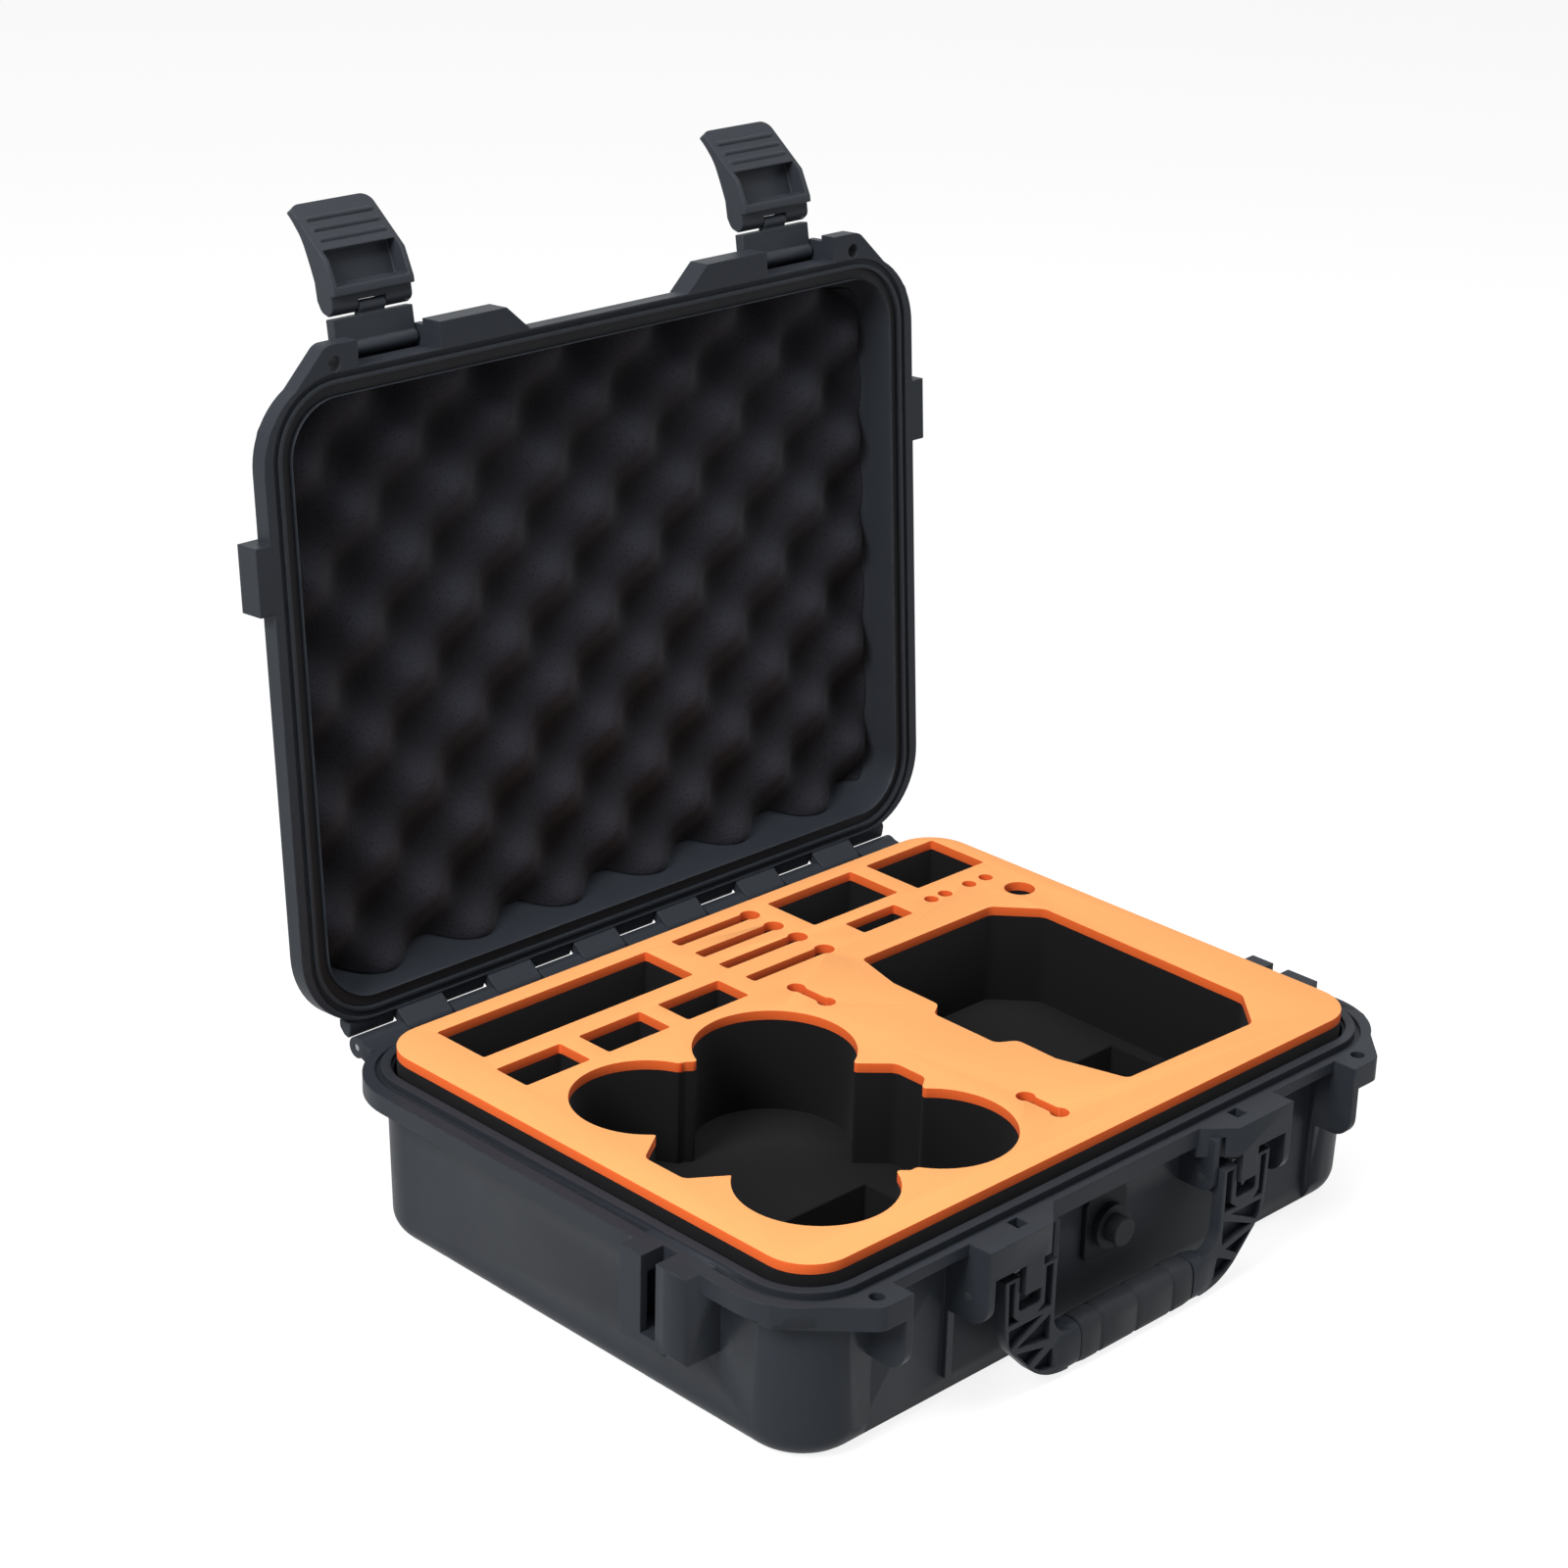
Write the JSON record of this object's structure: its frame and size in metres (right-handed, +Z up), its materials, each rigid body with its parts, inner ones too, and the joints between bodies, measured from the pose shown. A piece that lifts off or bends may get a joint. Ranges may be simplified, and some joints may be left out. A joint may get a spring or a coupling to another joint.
{
  "type": "drone carrying case",
  "caption": "Hard carrying case with a hinged lid, toggle latches, a folding handle, egg-crate lid foam and an orange-topped foam insert cut for a drone and controller.",
  "frame": {"origin": "centre of the base's flat underside", "axes": "+X to the right along the hinge, +Y from the handle towards the hinge, +Z up"},
  "size_m": [0.376, 0.3585, 0.407],
  "materials": {
    "shell": "satin",
    "latch": "satin",
    "trim": "satin",
    "grip": "matte",
    "seal": "matte",
    "steel": "brushed",
    "black_foam": "matte",
    "egg_foam": "matte",
    "orange_foam": "matte"
  },
  "bodies": {
    "base": {"base_shell": "shell", "foam_floor_layer": "black_foam", "foam_lower_layer": "black_foam", "foam_upper_layer": "black_foam", "foam_top_sheet": "orange_foam", "hinge_pin": "steel", "valve_body": "trim", "handle_pivot_pin_right": "steel", "handle_pivot_pin_left": "steel"},
    "lid": {"lid_shell": "shell", "lid_seal": "seal", "lid_foam": "egg_foam", "latch_pin_right": "steel", "latch_pin_left": "steel"},
    "handle": {"handle_frame": "shell", "handle_grip": "grip"},
    "valve_knob": {"valve_knob": "trim"},
    "latch_link_right": {"latch_link_right": "latch", "lever_pin_right": "steel"},
    "latch_lever_right": {"latch_lever_right": "latch"},
    "latch_link_left": {"latch_link_left": "latch", "lever_pin_left": "steel"},
    "latch_lever_left": {"latch_lever_left": "latch"}
  },
  "joints": [
    {"name": "lid_hinge", "type": "hinge", "parent": "base", "child": "lid", "pos_m": [0, 0.1454, 0.0715], "axis": [1, 0, 0], "range_deg": [0, 94]},
    {"name": "handle_swing", "type": "hinge", "parent": "base", "child": "handle", "pos_m": [0, -0.1372, 0.0515], "axis": [-1, 0, 0], "range_deg": [0, 95]},
    {"name": "valve_knob_turn", "type": "hinge", "parent": "base", "child": "valve_knob", "pos_m": [0, -0.1314, 0.044], "axis": [0, -1, 0], "range_deg": [0, 360]},
    {"name": "latch_swing_right", "type": "hinge", "parent": "lid", "child": "latch_link_right", "pos_m": [0.1117, 0.18403, 0.35449], "axis": [1, 0, 0], "range_deg": [0, 96]},
    {"name": "lever_flip_right", "type": "hinge", "parent": "latch_link_right", "child": "latch_lever_right", "pos_m": [0.1117, 0.18681, 0.37025], "axis": [1, 0, 0], "range_deg": [-35, 0]},
    {"name": "latch_swing_left", "type": "hinge", "parent": "lid", "child": "latch_link_left", "pos_m": [-0.1117, 0.18403, 0.35449], "axis": [1, 0, 0], "range_deg": [0, 96]},
    {"name": "lever_flip_left", "type": "hinge", "parent": "latch_link_left", "child": "latch_lever_left", "pos_m": [-0.1117, 0.18681, 0.37025], "axis": [1, 0, 0], "range_deg": [-35, 0]}
  ]
}
